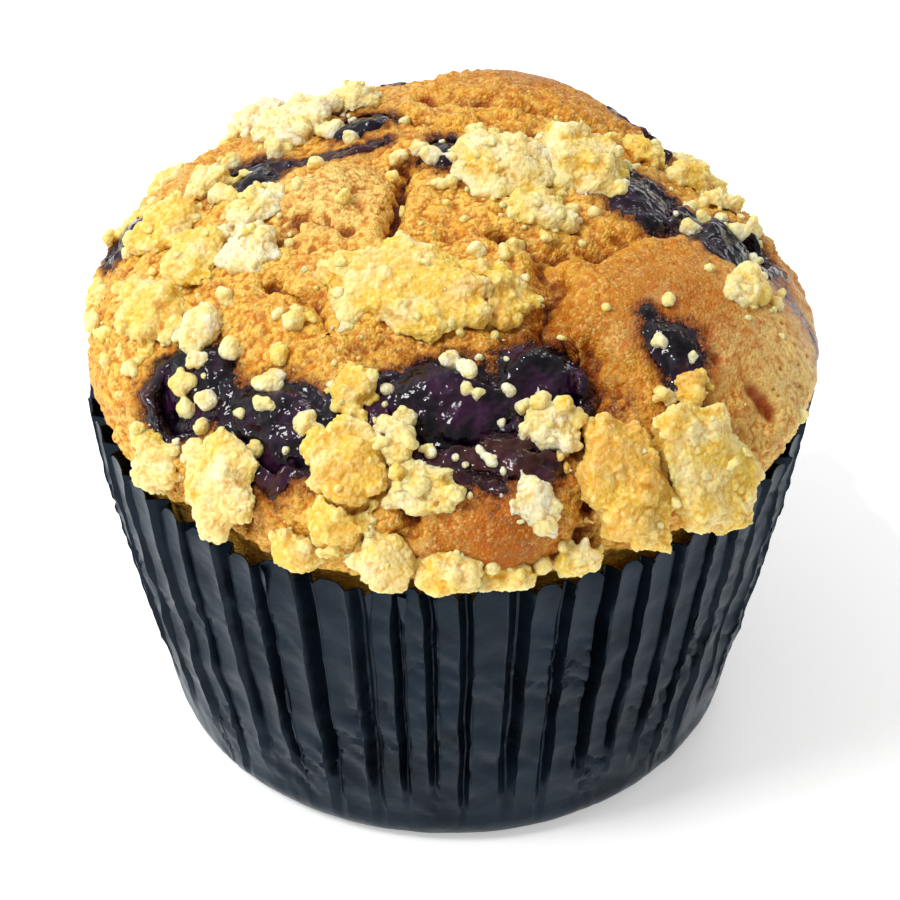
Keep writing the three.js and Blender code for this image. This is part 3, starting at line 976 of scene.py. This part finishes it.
# %% Balls of dough
def ball(detail):
    """The points and faces of a unit ball made of triangles."""
    shape = bmesh.new()
    bmesh.ops.create_icosphere(shape, subdivisions=detail, radius=1)
    points = np.array([v.co for v in shape.verts])
    faces = [[v.index for v in f.verts] for f in shape.faces]
    shape.free()
    return points, faces


GRAIN_DETAIL = 2
GRAIN_BALL = ball(GRAIN_DETAIL)
crust_tree = search_tree(
    (points_of(made.data), faces_of(made.data)) for made in [cake, *jams]
)


def spread_over(points, faces, per_mm2, dice):
    """Random places on a solid's surface, evenly spread, with the outward normal at each."""
    corners = np.array([[points[i] for i in face[:3]] for face in faces])
    cross = np.cross(corners[:, 1] - corners[:, 0], corners[:, 2] - corners[:, 0])
    double_area = np.linalg.norm(cross, axis=1)
    count = int(double_area.sum() / 2 / MM ** 2 * per_mm2)
    found = []
    for face in dice.choices(range(len(faces)), weights=double_area, k=count):
        a, b = sorted((dice.random(), dice.random()))
        weights = np.array([a, b - a, 1 - b])
        found.append((weights @ corners[face], cross[face] / max(double_area[face], 1e-12)))
    return found


def grain_ball(middle, radius, dice):
    stretch = np.array([dice.uniform(0.7, 1.3) for _ in range(3)])
    return GRAIN_BALL[0] * stretch * radius * MM + middle, GRAIN_BALL[1]


print("a grain has", len(GRAIN_BALL[1]), "faces")

# %% Fused lumps
NODULE_RADIUS = (0.4, 1.25)
NODULES_PER_MM2 = 0.42
SKIRT_REACH = 2.2
SKIRT_GRAINS = 14
LUMP_VOXEL = 0.18
LUMP_SMOOTHING = 3
USUAL_SUNK = 0.3
# How much deeper these lie, in millimetres, where the dome curves away under them.
SUNK = {"edge_left": 1.2, "edge_left_low": 1.3, "left_high": 0.5, "left_low": 0.4}
# From -1 for pale and sugared to 1 for toasted. The others fall between -0.3 and 0.3.
LUMP_TONES = {
    "pair_left": 0.75, "pair_top": 0.7, "front_left": 0.55, "front_left_high": 0.5,
    "centre_right": 0.5, "front_left_low": 0.35, "edge_right_a": 0.5, "edge_right_b": 0.3,
    "top_left": -0.8, "top_left_inner": -0.7, "top_left_outer": -0.7, "crown": -0.4,
    "round_left": -0.2, "pale_upper": -0.9, "pale_lower": -0.9, "front_pale": -0.8,
    "under_berry": -0.5, "on_berry": -0.9, "foot_right": -0.3, "right_flank": -0.2,
    "low_left_round": -0.3, "left_inner": -0.8, "back_small": -0.6,
}

lumps = []
for number, lump in enumerate(LUMPS):
    dice = random.Random(100 + number)
    points, faces = solid(lump)
    middle = points.mean(0)
    outward = (middle - HEART) / np.linalg.norm(middle - HEART)
    deeper = SUNK.get(lump.removeprefix("streusel_"), 0)
    points = points - outward * (USUAL_SUNK + deeper) * MM
    parts = [(middle + (points - middle) * 0.98, faces)]
    low, high = NODULE_RADIUS
    for place, normal in spread_over(points, faces, NODULES_PER_MM2, dice):
        if normal @ outward > -0.35:
            radius = low + (high - low) * dice.random() ** 1.8
            sunk = place - normal * radius * dice.uniform(0.45, 0.85) * MM
            parts.append(grain_ball(sunk, radius, dice))
    for _ in range(SKIRT_GRAINS):
        edge = points[dice.randrange(len(points))]
        side = Vector([dice.gauss(0, 1) for _ in range(3)]).normalized()
        start = Vector(edge) + side * dice.random() ** 1.5 * SKIRT_REACH * MM
        place, normal, _, _ = crust_tree.find_nearest(start, 4 * MM)
        if place and place.z > RIM_Z + 0.8 * MM:
            radius = 0.35 + 0.55 * dice.random() ** 2
            parts.append(grain_ball(np.array(place + normal * radius * 0.2 * MM), radius, dice))
    made = refined(lump + "_baked", parts, LUMP_VOXEL, LUMP_SMOOTHING)
    points, normals = points_of(made.data), normals_of(made.data)
    rough = stacked(points, [(3.2, 0.4, number), (1.3, 0.2, number + 20)]) - 0.18
    rough += stacked(points, [(1.0, 0.26, number), (0.55, 0.14, number + 50)], grains)
    set_points(made.data, inside_cup(points + normals * rough[:, None] * MM))
    points = points_of(made.data)
    store(made.data, "hollow", hollow_of(made.data, 4) / MM)
    store(made.data, "valley", hollow_of(made.data, 40) / MM)
    own_tone = LUMP_TONES.get(lump.removeprefix("streusel_"), dice.uniform(-0.3, 0.3))
    store(made.data, "tone", np.full(len(points), own_tone))
    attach(made, "root")
    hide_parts(lump)
    lumps.append(made)
print(sum(len(made.data.polygons) for made in lumps), "faces of streusel")

# %% [markdown]
# ## Loose crumbs
#
# Grains that never joined a lump lie all over the dome, thickest beside the lumps. A particle
# system could scatter them, but here they are dropped from outside onto random places, and one
# that falls far from any lump mostly bounces away. So their number thins out as it does on the
# real crust. The larger ones, stuck in the juice or beside a lump, have their own places. A crumb
# is one grain, and any but the smallest has a few knobs on it.

# %% Drop the crumbs
CRUMB_TRIES = 4600
LOWEST_CRUMB = 76
# How likely a crumb stays beside a lump, how fast that falls off in millimetres, how likely it
# stays anywhere else, and how likely it stays on a lump.
STAYS_BESIDE, STAYS_FADE, STAYS_ANYWHERE, STAYS_ON_LUMP = 0.28, 1.7, 0.007, 0.05
# A crumb this close to a lump, in millimetres, lies on it.
ON_LUMP = 0.4
# Turn and tilt in degrees, and width in millimetres.
SET_CRUMBS = [
    (-38, 52, 3.0), (-36, 54, 1.8), (-48, 58, 2.2), (-51, 61, 2.0), (-46, 62, 1.6), (-54, 58, 2.6),
    (-43, 41, 2.4), (-27, 54, 2.4), (-25, 55, 1.6), (-51, 50, 2.6), (-41, 47, 2.4),
    (-9, 51, 2.3), (-7, 54, 1.9), (-3, 56, 1.7), (-12, 55, 1.6), (1, 41, 2.6), (4, 43, 2.0),
    (4, 46, 1.4), (6, 47, 1.3), (13, 47, 1.5), (16, 50, 2.2), (18, 50, 2.0), (22, 51, 1.9),
    (24, 53, 1.8), (-5, 60, 2.2), (-8, 59, 1.8), (1, 61, 1.8), (20, 58, 1.6),
    (47, 48, 1.5), (50, 52, 1.2), (50, 18, 2.6), (20, 16, 1.8), (34, 19, 1.6),
    (63, 69, 1.6), (93, 46, 2.2), (97, 48, 1.7), (92, 57, 1.8), (96, 53, 2.0),
    (101, 57, 2.0), (108, 50, 1.9), (-128, 43, 2.2), (-121, 30, 1.9), (-104, 44, 2.2),
    (-88, 61, 2.0), (-84, 66, 2.2), (-72, 65, 2.0), (-64, 45, 2.2), (-66, 62, 1.8),
    (-143, 38, 2.4), (-138, 41, 2.0), (-90, 20, 1.8), (-96, 36, 1.7),
    (-162, 20, 2.2), (-168, 15, 2.0), (-148, 20, 1.8), (-132, 16, 1.6), (-165, 34, 1.6),
    (-144, 33, 1.7), (-131, 42, 1.8), (-122, 49, 2.4), (-117, 52, 2.0),
]

jam_tree = search_tree((points_of(made.data), faces_of(made.data)) for made in jams)
landing = search_tree(
    (points_of(made.data), faces_of(made.data)) for made in [cake, *jams, *lumps]
)


def land(turn, tilt):
    """Where a ray from outside towards the heart meets the muffin, and the normal there."""
    ray = Vector(toward(turn, tilt))
    place, normal, _, _ = landing.ray_cast(Vector(HEART) + ray * 60 * MM, -ray)
    return place, normal


dice = random.Random(11)
crumbs = [(*land(turn, tilt), size * 0.5) for turn, tilt, size in SET_CRUMBS]
for _ in range(CRUMB_TRIES):
    turn = dice.uniform(-180, 180)
    tilt = math.degrees(math.acos(dice.uniform(math.cos(math.radians(LOWEST_CRUMB)), 1)))
    place, normal = land(turn, tilt)
    gap = lump_tree.find_nearest(place)[3] / MM
    chance = STAYS_BESIDE * math.exp(-gap / STAYS_FADE) + STAYS_ANYWHERE
    if gap <= ON_LUMP:
        chance = STAYS_ON_LUMP
    size = dice.random() ** 2.5
    if place.z > RIM_Z + 2 * MM and dice.random() < chance:
        crumbs.append((place, normal, 0.28 + 0.5 * size))
print(len(crumbs), "crumbs")


# %% Shape the crumbs
CRUMB_VOXEL = 0.16
CRUMB_SMOOTHING = 2
NO_KNOBS_BELOW = 0.45


def crumb_piece(name, some):
    """One object of many crumbs, each a few small grains stuck together."""
    parts = []
    for place, normal, radius in some:
        middle = np.array(place + normal * radius * 0.25 * MM)
        parts.append(grain_ball(middle, radius * 0.85, dice))
        for _ in range(0 if radius < NO_KNOBS_BELOW else dice.randint(2, 5)):
            side = Vector([dice.gauss(0, 1) for _ in range(3)]).normalized()
            aside = np.array(side) * radius * dice.uniform(0.45, 0.75) * MM
            parts.append(grain_ball(middle + aside, radius * dice.uniform(0.4, 0.65), dice))
    made = refined(name, parts, CRUMB_VOXEL, CRUMB_SMOOTHING)
    points, normals = points_of(made.data), normals_of(made.data)
    rough = 0.34 * noise_at(points, 1.1, 5) + 0.1 * grains(points, 0.6, 6) - 0.04
    points = inside_cup(points + normals * rough[:, None] * MM)
    set_points(made.data, points)
    dry = 1 - ease(distance_to(jam_tree, points, 1.5 * MM), 0.5 * MM, 1.4 * MM)
    store(made.data, "hollow", hollow_of(made.data, 3) / MM)
    store(made.data, "valley", np.zeros(len(points)))
    store(made.data, "tone", -0.2 - 0.8 * dry + 0.4 * noise_at(points, 5, 77))
    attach(made, "root")
    return made


crumb_pieces = [
    crumb_piece("crumbs_front", [c for c in crumbs if c[0].y < 0]),
    crumb_piece("crumbs_back", [c for c in crumbs if c[0].y >= 0]),
]
print([len(made.data.polygons) for made in crumb_pieces], "faces of crumbs")

# %% [markdown]
# ## Baked butter crumb
#
# Flour, sugar and butter, baked until it just colours. The eye reads it as soft and fatty: light
# travels deep in it, so its hollows glow a strong yellow and never go black. Subsurface light
# alone would take many samples to show that, so the colour holds a painted shade of deeper yellow
# in the hollows and a painted highlight of pale cream on the bumps. The lumps that stood highest
# toast to light brown. Single grains are a quarter of a millimetre. They would be too fine to
# show, so they are drawn 0.36 mm wide, in tone and in bump.

# %% Streusel material
BUTTER_YELLOW = linear("#EEC850")
# Pale cream: the paler lumps and grains, and a painted highlight on the bumps.
CREAM = linear("#F4E2A4")
SUGARED = linear("#F7EED0")
# Painted shade: a deeper, glowing yellow for the hollows. It is also one of the grain tones.
GLOWING_HOLLOW = linear("#E8AE1E")
TOASTED = linear("#E3A44A")

butter_crumb, tree = start_material("baked_butter_crumb")
where = add_node(tree, "ShaderNodeTexCoord").outputs["Object"]
hollow_value, valley_value, tone_value = [
    add_node(tree, "ShaderNodeAttribute", attribute_name=name).outputs["Fac"]
    for name in ("hollow", "valley", "tone")
]
clouds, grain, toast_where = [
    add_node(
        tree, "ShaderNodeTexNoise", {"Vector": where, "Scale": per_mm(size), "Detail": 4}
    ).outputs["Fac"]
    for size in (2.8, 0.4, 4)
]
cells = add_node(tree, "ShaderNodeTexVoronoi", {"Vector": where, "Scale": per_mm(0.36)})
cell_tone = add_node(
    tree, "ShaderNodeSeparateColor", {"Color": cells.outputs["Color"]}
).outputs[0]
toast = add_node(
    tree, "ShaderNodeMath", {0: tone_value, 1: 0.3, 2: toast_where}, operation="MULTIPLY_ADD"
).outputs[0]
pale = add_node(
    tree, "ShaderNodeMath", {0: tone_value, 1: -0.22, 2: clouds}, operation="MULTIPLY_ADD"
).outputs[0]
tone = layered(
    tree,
    BUTTER_YELLOW,
    [
        (CREAM, pale, 0.4, 0.62, 1),
        # Painted highlight: pale cream on the bumps.
        (CREAM, hollow_value, -0.02, -0.1, 0.6),
        (SUGARED, pale, 0.64, 0.78, 0.9),
        (TOASTED, toast, 0.6, 0.8, 0.65),
        # Painted shade: deeper yellow in the small hollows and in the valleys between grains.
        (GLOWING_HOLLOW, hollow_value, 0.01, 0.08, 0.6),
        (GLOWING_HOLLOW, valley_value, 0.15, 0.6, 0.85),
        (CREAM, cell_tone, 0.6, 1.0, 0.4),
        (GLOWING_HOLLOW, cell_tone, 0.3, 0.0, 0.3),
    ],
)
cell_edge = cells.outputs["Distance"]
surface = add_node(
    tree, "ShaderNodeMath", {0: cell_edge, 1: -1.2, 2: grain}, operation="MULTIPLY_ADD"
).outputs[0]
bump = add_node(
    tree, "ShaderNodeBump", {"Strength": 0.5, "Distance": 0.24 * MM, "Height": surface}
)
shader = add_node(
    tree,
    "ShaderNodeBsdfPrincipled",
    {
        "Base Color": tone,
        "Roughness": 0.45,
        "IOR": 1.46,
        "Specular IOR Level": 0.35,
        "Normal": bump.outputs["Normal"],
        "Subsurface Weight": 0.6,
        "Subsurface Radius": (1.0, 0.72, 0.22),
        "Subsurface Scale": 1.5 * MM,
    },
)
add_node(tree, "ShaderNodeOutputMaterial", {"Surface": shader.outputs["BSDF"]})
for made in lumps + crumb_pieces:
    made.data.materials.append(butter_crumb)
print("butter crumb on", len(lumps + crumb_pieces), "pieces")

# %% [markdown]
# ## The foil cup
#
# A disc of thin foil is pressed round a former and its edge gathered into pleats. Each pleat has a
# flat outer face between two creases and a narrow valley folded in. The creases stand a little
# proud, which is why a thin bright line runs down them. Near the foot the folds run out into a
# smooth round corner, and the wall is dented by fingers and by the tray. A cloth simulation could
# crumple it, but would lose the sharp creases, so the wall is a grid whose every point is worked
# out from its angle and height, and a solidify modifier makes it thick.

# %% Pleats
PLEATS = 52
PLEAT_DEPTH = 1.7 * MM
PLEAT_START = 2 * MM
PLEAT_FULL = 13 * MM
# Across one pleat, as shares of its width: where a point lies and how far it is folded in.
FOLD = [
    (0.000, -0.05), (0.020, 0.04), (0.150, 0.10), (0.300, 0.13), (0.450, 0.09), (0.560, 0.03),
    (0.590, -0.05), (0.610, 0.05), (0.680, 0.45), (0.745, 0.86), (0.790, 1.00), (0.840, 0.97),
    (0.880, 0.80), (0.940, 0.40), (0.985, 0.05),
]
# The cake leans over the rim on this side, at the left and a little to the back, and presses it
# down and in.
PRESSED_ANGLE = math.radians(165)
PRESSED_DOWN = 1 * MM
PRESSED_IN = 0.9 * MM
# How far a crease strays sideways.
JOG = 0.16 * MM
FOOT_ROWS = 7
WALL_ROWS = 60
# How much of a pleat is its outer face.
FACE = 0.6
# The wall's usual radius in millimetres, which turns an angle into a length.
WALL_RADIUS = 31


# %% Pleated wall
def fold_columns():
    """Every column of the wall: its angle, how far it folds in, and its pleat's own habits."""
    dice = random.Random(3)
    widths = [dice.uniform(0.7, 1.3) for _ in range(PLEATS)]
    turn, total = 0, sum(widths)
    columns = []
    for width in widths:
        span = 2 * math.pi * width / total
        habit = {
            "seed": dice.uniform(0, 90),
            "depth": dice.uniform(0.7, 1.15),
            "tab": dice.uniform(-0.4, 0.4) * MM,
            "flare": dice.uniform(-0.3, 0.3) * MM,
            "twist": dice.uniform(-0.5, 0.5) * MM,
            "lean": dice.uniform(-0.012, 0.012),
            "start": dice.uniform(-2, 6) * MM,
        }
        for share, fold in FOLD:
            columns.append((turn + span * share, fold, share, habit))
        turn += span
    return columns


def scallop(share):
    """Height of the rim above or below its mean: a rounded tab on the crest, a notch between."""
    if share > FACE:
        return (-0.75 + 0.3 * abs(share - 0.8) / 0.2) * MM
    across = (share / FACE - 0.5) * 2
    return (0.5 - 0.9 * across ** 4) * MM


def foil_dent(angle, z):
    """Creased dents: long facets that meet in lines, and a few sharp slanting pinches."""
    x, y = math.cos(angle) * WALL_RADIUS, math.sin(angle) * WALL_RADIUS
    place = Vector((x, y, z / MM * 0.7))
    slanted = place * 0.16 + Vector((0, 0, angle * 1.4))
    broad = abs(noise.noise(slanted)) - 0.2
    sharp = abs(noise.noise(slanted * 2.7 + Vector((5, 5, 5)))) - 0.2
    along_wall = angle * WALL_RADIUS
    lean = Vector(((along_wall + z / MM) * 0.42, (along_wall - z / MM) * 0.13, 3))
    pinch = max(0, 0.22 - abs(noise.noise(lean))) * max(0, noise.noise(place * 0.13) + 0.25)
    return (-0.7 * broad - 0.3 * sharp - 3.2 * pinch) * MM


def foil_point(column, row):
    angle, fold, share, habit = column
    pressed_side = math.exp(-((angle - PRESSED_ANGLE) / 0.45) ** 2)
    if row < FOOT_ROWS:
        z = FOOT_HEIGHT * (1 - math.cos(math.pi / 2 * row / FOOT_ROWS))
    else:
        up = (row - FOOT_ROWS) / (WALL_ROWS - 1)
        top = CUP_TOP + scallop(share) + habit["tab"] - PRESSED_DOWN * pressed_side
        z = FOOT_HEIGHT + (top - FOOT_HEIGHT) * up
    begin = PLEAT_START + habit["start"]
    folded = float(ease(np.array(z), begin, PLEAT_FULL)) * habit["depth"]
    near_rim = float(ease(np.array(z), CUP_TOP - 5 * MM, CUP_TOP))
    mid = math.sin(math.pi * min(z / CUP_TOP, 1)) ** 0.6
    radius = crest_radius(min(z, CUP_TOP)) - PLEAT_DEPTH * fold * folded
    radius += foil_dent(angle, z) * mid * (1 - 0.6 * near_rim)
    radius += (habit["flare"] * (1 - fold) - PRESSED_IN * pressed_side) * near_rim
    radius += habit["twist"] * (share - 0.3) * folded * (1 - abs(fold))
    along_pleat = Vector((habit["seed"], 0, z / MM / 5.5))
    jog = JOG * noise.noise(along_pleat) * mid * (1 - near_rim)
    angle += habit["lean"] * near_rim + jog / radius
    return (radius * math.cos(angle), radius * math.sin(angle), z)


print("a dent at the front is", round(foil_dent(-math.pi / 2, CUP_TOP / 2) / MM, 2), "mm")

# %% Build the cup
FOIL_THICK = 0.12 * MM
CREASE_ANGLE = math.radians(24)
BASE_RINGS = (0.97, 0.7, 0.35)

columns = fold_columns()
around = len(columns)
rows = FOOT_ROWS + WALL_ROWS
points = [foil_point(column, row) for row in range(rows) for column in columns]
for share in BASE_RINGS:
    points += [(x * share, y * share, 0) for x, y, _ in points[:around]]
points.append((0, 0, 0))


def at(row, side):
    return row * around + side % around


def band(low, high):
    """The ring of faces between two rows of points."""
    return [[at(low, s), at(low, s + 1), at(high, s + 1), at(high, s)] for s in range(around)]


faces = [face for row in range(rows - 1) for face in band(row, row + 1)]
faces += band(rows, 0) + band(rows + 1, rows) + band(rows + 2, rows + 1)
faces += [[len(points) - 1, at(rows + 2, s + 1), at(rows + 2, s)] for s in range(around)]
cup = mesh_object("foil_cup", points, faces)
foil_wall = cup.modifiers.new("foil", "SOLIDIFY")
foil_wall.thickness = FOIL_THICK
foil_wall.offset = -1
applied(cup)
cup.data.set_sharp_from_angle(angle=CREASE_ANGLE)
print("cup", len(cup.data.polygons), "faces")

# %% [markdown]
# ## Lacquered foil
#
# Rolled aluminium with a near-black lacquer over it: a metal under a thin dark film, so the flats
# mirror the room softly in blue-grey and the valleys go black. A coat over a bare metal would
# shine silver at the edges, so the metal is made half as strong and its reflection is tinted.
# Handling leaves soft creases about 2.6 mm wide, drawn as a bump, and smudges about 5 mm wide that
# dull the gloss and lighten the lacquer where it has worn.

# %% Foil material
LACQUER = linear("#0B141D")
LACQUER_WORN = linear("#17232F")

foil, tree = start_material("lacquered_foil")
where = add_node(tree, "ShaderNodeTexCoord").outputs["Object"]
smudges = add_node(
    tree, "ShaderNodeTexNoise", {"Vector": where, "Scale": per_mm(5), "Detail": 4}
).outputs["Fac"]
tone = layered(tree, LACQUER, [(LACQUER_WORN, smudges, 0.3, 0.7, 1)])
haze = add_node(
    tree, "ShaderNodeMapRange", {0: smudges, 1: 0.3, 2: 0.7, 3: 0.24, 4: 0.38}
).outputs[0]
creases = add_node(
    tree, "ShaderNodeTexNoise", {"Vector": where, "Scale": per_mm(2.6), "Detail": 2}
).outputs["Fac"]
bump = add_node(
    tree, "ShaderNodeBump", {"Strength": 0.4, "Distance": 0.3 * MM, "Height": creases}
)
shader = add_node(
    tree,
    "ShaderNodeBsdfPrincipled",
    {
        "Base Color": tone,
        "Metallic": 0.5,
        "Specular IOR Level": 0.2,
        "Specular Tint": linear("#D0D9E0"),
        "Roughness": haze,
        "Normal": bump.outputs["Normal"],
    },
)
add_node(tree, "ShaderNodeOutputMaterial", {"Surface": shader.outputs["BSDF"]})
cup.data.materials.append(foil)
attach(cup, "root")
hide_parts("baking_cup")
print("foil of", len(tree.nodes), "nodes")

# %% [markdown]
# ## Finish
#
# Blender brings the scene up to date.

bpy.context.view_layer.update()
